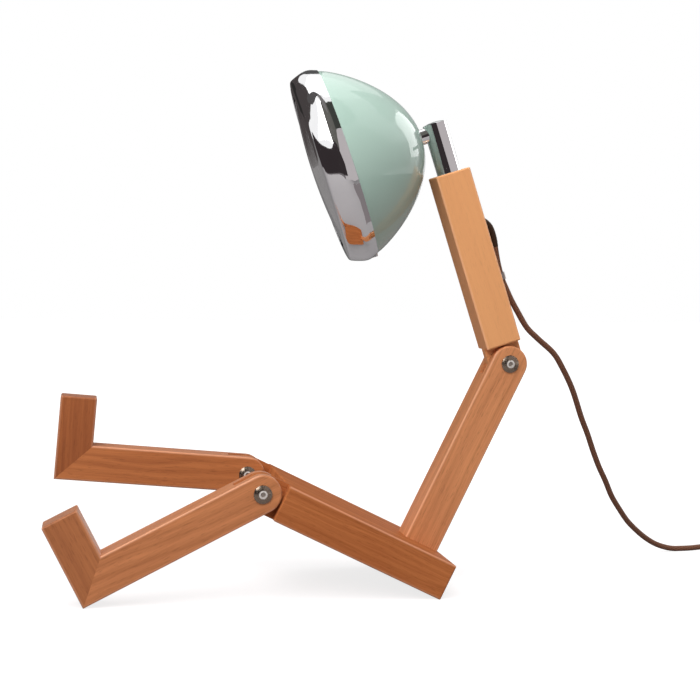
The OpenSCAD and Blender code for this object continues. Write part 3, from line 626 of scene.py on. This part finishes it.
BLACK = plastic("black_plastic", (0.022, 0.022, 0.023), 0.42)
RUBBER = plastic("black_rubber", (0.03, 0.03, 0.03), 0.6, 0.3, 900)
SLEEVE = plastic("brown_rubber", (0.040, 0.019, 0.010), 0.5, 0.2, 900, gloss=0.15)
ROCKER = plastic("rocker_plastic", (0.035, 0.035, 0.036), 0.18, 0.03)
BUSH = plastic("bush_plastic", (0.80, 0.79, 0.75), 0.4)
FIBRE = plastic("red_fibre", (0.35, 0.17, 0.09), 0.7, 0.4, 700)
CERAMIC = plastic("unglazed_ceramic", (0.82, 0.79, 0.72), 0.6, 0.2, 900)
WIRE = plastic("silicone_sleeve", (0.78, 0.76, 0.70), 0.5, 0.1, 700)

BRAID_PITCH = 0.0052
BRAID_STRANDS = 8.0


def braid():
    """Textile braid on the lead: two sets of strands that cross, from the tube's UV."""
    t = Tree("braided_textile")
    u, v, _ = t.apart(t.add("ShaderNodeUVMap", uv_map="run").outputs[0])
    along = t.maths("DIVIDE", u, BRAID_PITCH)
    around = t.maths("MULTIPLY", v, BRAID_STRANDS)

    def ridges(way):
        """The height of the strands that wind one way round the lead."""
        strand = t.maths("FRACT", t.maths(way, along, around))
        across = t.maths("SUBTRACT", t.maths("MULTIPLY", strand, 2.0), 1.0)
        return t.maths("SUBTRACT", 1.0, t.maths("ABSOLUTE", across))

    height = t.maths("MAXIMUM", ridges("ADD"), ridges("SUBTRACT"))
    thread = t.noise(t.local(), 2600, detail=2)
    # Painted shade: the colour darkens into the grooves between the strands, and its tone varies
    # at random from thread to thread
    shade = t.mix(
        t.maths("MULTIPLY", height, thread), (0.095, 0.035, 0.018), (0.38, 0.170, 0.098)
    )
    return t.set(
        Base_Color=shade,
        Roughness=0.8,
        Specular_IOR_Level=0.2,
        Sheen_Weight=0.08,
        Normal=t.bump(height, 0.7, 0.0003),
    )


TEXTILE = braid()

FINISH = {
    "chrome": CHROME, "steel": STEEL, "dark_steel": DARK_STEEL, "brass": BRASS,
    "mirror": MIRROR, "mint_paint": MINT, "clear_glass": GLASS, "bulb_glass": BULB_GLASS,
    "rubber": RUBBER, "bush_plastic": BUSH, "fibre": FIBRE, "ceramic": CERAMIC,
    "black_plastic": BLACK, "rocker_plastic": ROCKER, "textile": TEXTILE, "wire": WIRE,
}
# Nodes with a finish of their own
OWN = {**WOOD, **BOLT, "cord_clip": CLIP, "clip_screws": CLIP}


def dress(made, material):
    made.data.materials.clear()
    made.data.materials.append(material)


for part in frame["record"]["subparts"]:
    name = part["node"]
    dress(nodes[name], OWN.get(name) or FINISH[part["material_slot"]])
dress(lead, TEXTILE)


# Shade, in millimetres and degrees --------------------------------------------------------------
SEGMENTS = 192
SHARP = 35
# Bowl: the play round the stem, where its section starts, and its straight skirt in the rim
STEM_FIT = 0.05
BOWL_FROM = 6
BOWL_SKIRT = 4
# Rim: the bead at the bowl, the bevel's width, and the lip's roll
RIM_BEAD = 0.95
RIM_BEVEL = 5
LIP_ROLL = 0.5
# Glass: its back behind the rim's front, the step up to its dome, its flat border and small edges
GLASS_SEAT = 5.1
GLASS_STEP = 0.6
GLASS_BORDER = 5
SMALL_EDGE = 0.3
# Reflector: its vertex from the bowl's back, the holder's hole, its sheet and its flange
MIRROR_BACK = 10.5
MIRROR_HOLE = 12.5
MIRROR_T = 0.8
MIRROR_FLANGE = 2.5


def lathe(name, node, profile, material):
    """A closed profile of (radius, height) turned about the shade's axis, in a node's place."""
    verts, faces = [], []
    count = len(profile)
    for i in range(SEGMENTS):
        a = 2 * math.pi * i / SEGMENTS
        for r, z in profile:
            verts.append(SHADE @ (Vector((r * math.cos(a), r * math.sin(a), z)) * MM))
    for i in range(SEGMENTS):
        n = (i + 1) % SEGMENTS
        for k in range(count):
            m = (k + 1) % count
            faces.append((i * count + k, n * count + k, n * count + m, i * count + m))
    made = mesh_object(name, verts, faces)
    made.data.validate()
    made.data.shade_smooth()
    made.data.set_sharp_from_angle(angle=math.radians(SHARP))
    dress(made, material)
    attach(made, "head")
    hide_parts(node)


bowl_back = NECK_R + STEM_GAP
edge_z = bowl_back + BOWL_DEEP
front_z = edge_z + RIM_DEEP
rim_r = BOWL_R + RIM_BELLY
lip_r = rim_r - RIM_BEVEL - LIP_W


def bowl_point(degrees, w):
    """A point of the bowl's section, at the depth w in its wall."""
    a = math.radians(degrees)
    deep = (BOWL_DEEP - w) * (1 - max(math.cos(a), 0) ** (2 / BOWL_POWER))
    return ((BOWL_R - w) * math.sin(a), bowl_back + w + deep)


angles = np.linspace(BOWL_FROM, 90, 64)
outside = [bowl_point(a, 0) for a in angles]
inside = [bowl_point(a, BOWL_WALL) for a in angles[::-1]]
back = outside[0][1]
skirt_z = edge_z + BOWL_SKIRT
lathe(
    "bowl_shell", "shade_bowl",
    [(STEM_R + STEM_FIT, back), *outside, (BOWL_R, skirt_z), (BOWL_R - BOWL_WALL, skirt_z),
     *inside, (STEM_R + STEM_FIT, back + BOWL_WALL)],
    MINT,
)


def curve(points, count=8):
    """A cubic B-spline with the points as its control polygon, from the first to the last."""
    p = [np.array(q, float) for q in points]
    p = [2 * p[0] - p[1], *p, 2 * p[-1] - p[-2]]
    line = []
    for a, b, c, d in zip(p, p[1:], p[2:], p[3:]):
        for i in range(count):
            t = i / count
            line.append(
                ((1 - t) ** 3 * a + (3 * t**3 - 6 * t**2 + 4) * b
                 + (-3 * t**3 + 3 * t**2 + 3 * t + 1) * c + t**3 * d) / 6
            )
    line.append(p[-2])
    return [tuple(q) for q in line]


def inset(line, depth):
    """The profile moved by depth to its left, in reverse order."""
    line = np.array(line)
    along = np.gradient(line, axis=0)
    along /= np.linalg.norm(along, axis=1)[:, None]
    return [tuple(q) for q in (line + depth * np.stack([-along[:, 1], along[:, 0]], 1))[::-1]]


# Chromed rim: a bead at the bowl's edge, the belly, the front bevel and the rolled lip. The
# points are set off from the belly's radius, the lip's, and the rim's two ends
rim_line = curve(
    [
        (BOWL_R + RIM_BEAD, edge_z), (rim_r - 1.5, edge_z + 0.1 * RIM_DEEP),
        (rim_r - 0.4, edge_z + 0.22 * RIM_DEEP), (rim_r, edge_z + 0.36 * RIM_DEEP),
        (rim_r - 0.45, edge_z + 0.48 * RIM_DEEP), (rim_r - 2.1, edge_z + 0.68 * RIM_DEEP),
        (rim_r - 3.9, front_z - 3.4), (rim_r - 4.9, front_z - 2), (rim_r - 6.6, front_z - 1.1),
        (lip_r + 4, front_z - 0.3), (lip_r + LIP_ROLL, front_z),
    ]
)
roll = [
    (lip_r + LIP_ROLL * (1 - math.sin(a)), front_z + LIP_ROLL * (math.cos(a) - 1))
    for a in np.radians(range(20, 181, 20))
]
lathe(
    "rim_shell", "shade_rim", [*rim_line, *roll, *inset(rim_line, RIM_WALL)[1:]], CHROME,
)

# Domed glass on its flat edge
sphere_r = (lip_r**2 + GLASS_RISE**2) / (2 * GLASS_RISE)
glass_back = front_z - GLASS_SEAT
glass_front = glass_back + GLASS_T
dome_z = glass_front + GLASS_STEP + GLASS_RISE - sphere_r
glass_r = lip_r + GLASS_BORDER


def dome(radius, last, count=40):
    """The dome's section from its axis to the angle last, never quite on the axis."""
    return [
        (max(radius * math.sin(a), 0.01), dome_z + radius * math.cos(a))
        for a in np.linspace(0, last, count)
    ]


inner_r = sphere_r - GLASS_T
lathe(
    "ribbed_glass", "front_glass",
    [*dome(sphere_r, math.asin((lip_r - 0.4) / sphere_r)),
     (lip_r, glass_front + SMALL_EDGE), (lip_r + 0.4, glass_front),
     (glass_r - SMALL_EDGE, glass_front), (glass_r, glass_front - SMALL_EDGE),
     (glass_r, glass_back + SMALL_EDGE), (glass_r - SMALL_EDGE, glass_back),
     (lip_r - 2, glass_back), *dome(inner_r, math.asin((lip_r - 6) / inner_r))[::-1]],
    GLASS,
)

# Parabolic reflector with its flange, which lies on the seal behind the glass
mirror_r = lip_r + 1
mirror_vertex = bowl_back + MIRROR_BACK
flange_front = glass_back - MIRROR_T
flange_back = flange_front - MIRROR_T
flange_r = glass_r + MIRROR_FLANGE
focus = mirror_r**2 / (4 * (flange_front - mirror_vertex))
face = [(r, mirror_vertex + r * r / (4 * focus)) for r in np.linspace(MIRROR_HOLE, mirror_r, 48)]
lathe(
    "mirror_bowl", "reflector",
    [*face, (mirror_r + 0.6, flange_front), (flange_r, flange_front), (flange_r, flange_back),
     (mirror_r + MIRROR_T, flange_back),
     *[(r + 0.7 * MIRROR_T, z - 0.7 * MIRROR_T) for r, z in face[::-1]]],
    MIRROR,
)

# Strain relief: a collar at the wood, then a slim moulded taper with fine ribs along the lead.
# Radii in millimetres at shares of its length, then the ribs' number, height and start
RELIEF_AT = (0, 0.2, 0.25, 1)
RELIEF_R = (3.9, 3.9, 2.95, CORD_R + 0.15)
RIBS = 13
RIB_H = 0.06
RIBS_FROM = 0.35
relief_line = smooth(in_torso(RELIEF_ROUTE), step=0.0004)
run = np.linspace(0, 1, len(relief_line))
ripple = np.where(run > RIBS_FROM, RIB_H * np.sin(run * 2 * math.pi * RIBS), 0)
relief = tube_mesh(
    "ribbed_relief", relief_line, (np.interp(run, RELIEF_AT, RELIEF_R) + ripple) * MM, sides=32
)
dress(relief, SLEEVE)
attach(relief, "upper_torso")
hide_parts("cord_relief")

# Light ------------------------------------------------------------------------------------------
# The middle of the studio, in the shade
AIM = Vector((0.06, -0.035, 0.36))


def heading(azimuth, elevation):
    """A direction by compass: 0 is +Y, 90 is +X."""
    a, e = math.radians(azimuth), math.radians(elevation)
    return Vector((math.sin(a) * math.cos(e), math.cos(a) * math.cos(e), math.sin(e)))


def softbox(name, azimuth, elevation, away, size, radiance, colour=(1, 1, 1)):
    """A rectangular lamp that faces AIM from that side, away metres off, in W/m2/sr."""
    data = bpy.data.lights.new(name, "AREA")
    data.shape = "RECTANGLE"
    data.size, data.size_y = size
    data.energy = radiance * math.pi * size[0] * size[1]
    data.color = colour
    made = bpy.data.objects.new(name, data)
    at = AIM + heading(azimuth, elevation) * away
    towards = (AIM - at).to_track_quat("-Z", "Y").to_matrix().to_4x4()
    made.matrix_world = Matrix.Translation(at) @ towards
    scene.collection.objects.link(made)
    return made


def emitter(name, colour):
    """A material that only glows, at the colour's own strength."""
    made = bpy.data.materials.new(name)
    made.use_nodes = True
    n = Nodes(made.node_tree)
    glow = n.add("ShaderNodeEmission", {"Color": (*colour, 1), "Strength": 1.0})
    n.add("ShaderNodeOutputMaterial", {0: glow.outputs[0]})
    return made


# A card's faces: degrees across, and rows from its low edge to its high one
CARD_STEP = 3.0
CARD_ROWS = 12


def card(name, away, colour, columns):
    """A curved card round the lamp that shows only in reflections, as the sides of a studio do.
    Each column is (azimuth, lowest elevation, highest elevation)."""
    verts, faces = [], []
    columns = np.array(columns, float)
    azimuths = np.arange(columns[0, 0], columns[-1, 0] + 0.1, CARD_STEP)
    for azimuth in azimuths:
        low = np.interp(azimuth, columns[:, 0], columns[:, 1])
        high = np.interp(azimuth, columns[:, 0], columns[:, 2])
        for k in range(CARD_ROWS + 1):
            verts.append(AIM + heading(azimuth, low + (high - low) * k / CARD_ROWS) * away)
    for i in range(len(azimuths) - 1):
        for k in range(CARD_ROWS):
            n = i * (CARD_ROWS + 1) + k
            faces.append((n, n + CARD_ROWS + 1, n + CARD_ROWS + 2, n + 1))
    made = mesh_object(name, verts, faces)
    dress(made, emitter(name, colour))
    made.visible_camera = False
    made.visible_diffuse = False
    made.visible_shadow = False
    made.visible_transmission = False


softbox("key", -148, 44, 1.6, (1.5, 1.7), 4.0)
softbox("overhead", -60, 84, 1.5, (1.8, 1.4), 1.3).visible_glossy = False
softbox("fill", 130, 12, 1.6, (1.7, 0.9), 0.6, (1.0, 0.95, 0.95))

# Each card is (name, how far from the lamp, colour, columns)
CARDS = (
    # The sky, and a light box behind the lamp with the dark bars of its frame
    ("card_sky", 2.2, (1.5, 1.5, 1.5), (
        (-95, 52, 88), (-60, 50, 88), (-20, 44, 88), (20, 46, 88), (60, 56, 88), (95, 76, 88),
    )),
    ("back_box", 1.5, (3.4, 3.4, 3.4), (
        (45, 7, 24), (48, 7, 34), (60, 7, 38), (71, 7, 38), (80, 8, 34),
    )),
    ("box_edge", 1.45, (0.02, 0.02, 0.02), (
        (36, 11.5, 13.5), (73, 11.5, 13.5),
    )),
    ("box_post", 1.45, (0.02, 0.02, 0.02), (
        (36, 15, 24), (40, 18, 30), (44.5, 22, 34),
    )),
    # The dark room in front of the shade
    ("card_left", 1.2, (0.065, 0.056, 0.056), (
        (-104, 33, 34.5), (-101, 29, 38), (-97, 25, 42), (-92, 21, 45), (-87, 17, 48),
        (-80, 12, 51), (-72, 7, 51), (-60, 0, 50.5), (-50, -3, 49), (-38, -4, 44.5),
        (-30, -4, 40), (-20, -3.5, 34), (-10, -2, 27.5), (-3, 0, 21), (3, 2, 16),
    )),
    ("card_dark", 1.1, (0.026, 0.025, 0.024), (
        (-38, 6, 34), (-30, 3, 33), (-20, 1, 28), (-8, 4, 16),
    )),
    # The room's upper part, above and behind the shade
    ("card_top", 1.15, (0.19, 0.18, 0.18), (
        (178, 62, 82), (195, 66, 84), (210, 68, 84), (230, 72, 85), (250, 74, 84), (265, 70, 82),
        (275, 52, 76), (284, 51, 66),
    )),
    ("stalk", 1.12, (0.09, 0.085, 0.085), (
        (266, 46, 80), (276, 46, 78), (286, 48, 68), (290, 49, 56),
    )),
    ("card_high", 1.2, (0.05, 0.053, 0.047), (
        (92, 74, 80), (105, 66, 79), (120, 52, 78), (135, 47, 78), (150, 46, 78), (162, 44, 79),
    )),
    ("card_side", 1.25, (0.12, 0.117, 0.105), (
        (156, 46, 80), (165, 30, 82), (180, 12, 83), (190, 12, 82), (202, 14, 80), (207, 24, 78),
        (212, 40, 76), (222, 58, 76), (236, 68, 74),
    )),
    # The dark horizon on the camera's side, and a pale wall on its right
    ("card_band", 0.95, (0.034, 0.027, 0.029), (
        (168, -12, 2), (175, -14, 12), (183, -16, 22), (190, -17, 24), (198, -18, 22),
        (206, -19, 16), (216, -20, 8), (221, -20, 5.5), (225, -20, 6), (231, -20, 9),
        (239, -20, 13), (247, -20, 14.5), (256, -20, 14.5), (265, -19, 13), (275, -18, 7),
        (290, -17, -2), (305, -15, -7), (320, -12, -9),
    )),
    ("card_pink", 1.2, (0.50, 0.465, 0.47), (
        (78, 2, 20), (100, 0, 22), (118, -5, 44), (130, -7, 46), (150, -11, 46), (160, -14, 44),
        (168, -17, 34), (175, -19, 18), (180, -19, 5),
    )),
    # What the glass, the bowl and the neck mirror from the far side
    ("card_ahead", 1.3, (0.25, 0.24, 0.24), (
        (-30, -9, -4), (-20, -9, 0), (-10, -9, 6), (5, -9, 9),
    )),
    ("card_edge", 1.25, (0.12, 0.12, 0.12), (
        (2, -14, 8), (10, -15, 8), (20, -14, 8),
    )),
    ("card_rear", 1.25, (0.09, 0.09, 0.09), (
        (-10, 26, 38), (-4, 20, 42), (4, 18, 43), (9, 20, 40),
    )),
    ("card_limb", 1.8, (0.36, 0.38, 0.37), (
        (8, 8, 26), (20, 8, 30), (30, 8, 34), (38, 10, 38), (43, 12, 58), (47, 36, 60),
        (60, 38, 57), (84, 38, 48),
    )),
    # A gap closed in the horizon, and the darker ground below it
    ("card_gap", 0.9, (0.036, 0.030, 0.031), (
        (190, -12, 3), (200, -12, 0),
    )),
    ("card_low", 0.45, (0.22, 0.195, 0.20), (
        (101, -49, -38), (111, -46, -33), (118, -42, -29), (125, -39, -25), (134, -31, -17),
        (146, -26, -14), (152, -22, -17),
    )),
    ("card_fade", 1.0, (0.16, 0.145, 0.15), (
        (183, -24, -14), (200, -26, -16), (240, -26, -17), (262, -22, -18),
    )),
)
for row in CARDS:
    card(*row)


# The world's radiance on the object
EVEN_LIGHT = 0.2


def studio():
    """White to the camera, in metal and through glass, and a low even light on the object."""
    world = bpy.data.worlds.new("studio")
    world.use_nodes = True
    scene.world = world
    n = Nodes(world.node_tree)
    path = n.add("ShaderNodeLightPath").outputs
    mirrored = n.maths("MAXIMUM", path["Is Camera Ray"], path["Is Glossy Ray"])
    seen = n.maths("MAXIMUM", mirrored, path["Is Transmission Ray"])
    even, white = (
        n.add("ShaderNodeBackground", {"Color": (1, 1, 1, 1), "Strength": strength}).outputs[0]
        for strength in (EVEN_LIGHT, 1.0)
    )
    mixed = n.add("ShaderNodeMixShader", {0: seen, 1: even, 2: white})
    n.add("ShaderNodeOutputWorld", {0: mixed.outputs[0]})


studio()


# The floor in metres, with its own glow to the camera near the lamp, and in metal and glass
FLOOR_HALF = 7
FLOOR_GLOW = 0.80
FLOOR_MIRRORED = 0.05
WHITER_FROM = 0.35
WHITE_FROM = 1.0


def backdrop():
    """White to the camera but for the shadow, and grey as it is lit in metal and glass."""
    t = Tree("white_floor")
    path = t.add("ShaderNodeLightPath").outputs
    t.set(Base_Color=(0.32, 0.30, 0.305, 1), Roughness=0.9)
    far = t.ramp(t.length(t.local()), (WHITER_FROM, 0), (WHITE_FROM, 1))
    white = t.maths("ADD", FLOOR_GLOW, t.maths("MULTIPLY", far, 1 - FLOOR_GLOW))
    mirrored = t.maths("MAXIMUM", path["Is Glossy Ray"], path["Is Transmission Ray"])
    shown = t.maths("MULTIPLY", path["Is Camera Ray"], white)
    glow = t.add(
        "ShaderNodeEmission",
        {
            "Color": (1, 1, 1, 1),
            "Strength": t.maths("MAXIMUM", shown, t.maths("MULTIPLY", mirrored, FLOOR_MIRRORED)),
        },
    )
    both = t.add("ShaderNodeAddShader", {0: t.shader.outputs[0], 1: glow.outputs[0]})
    t.link(both.outputs[0], t.out.inputs[0])
    return t.material


floor = mesh_object(
    "floor",
    [(x * FLOOR_HALF, y * FLOOR_HALF, 0) for x, y in ((-1, -1), (1, -1), (1, 1), (-1, 1))],
    [(0, 1, 2, 3)],
)
dress(floor, backdrop())
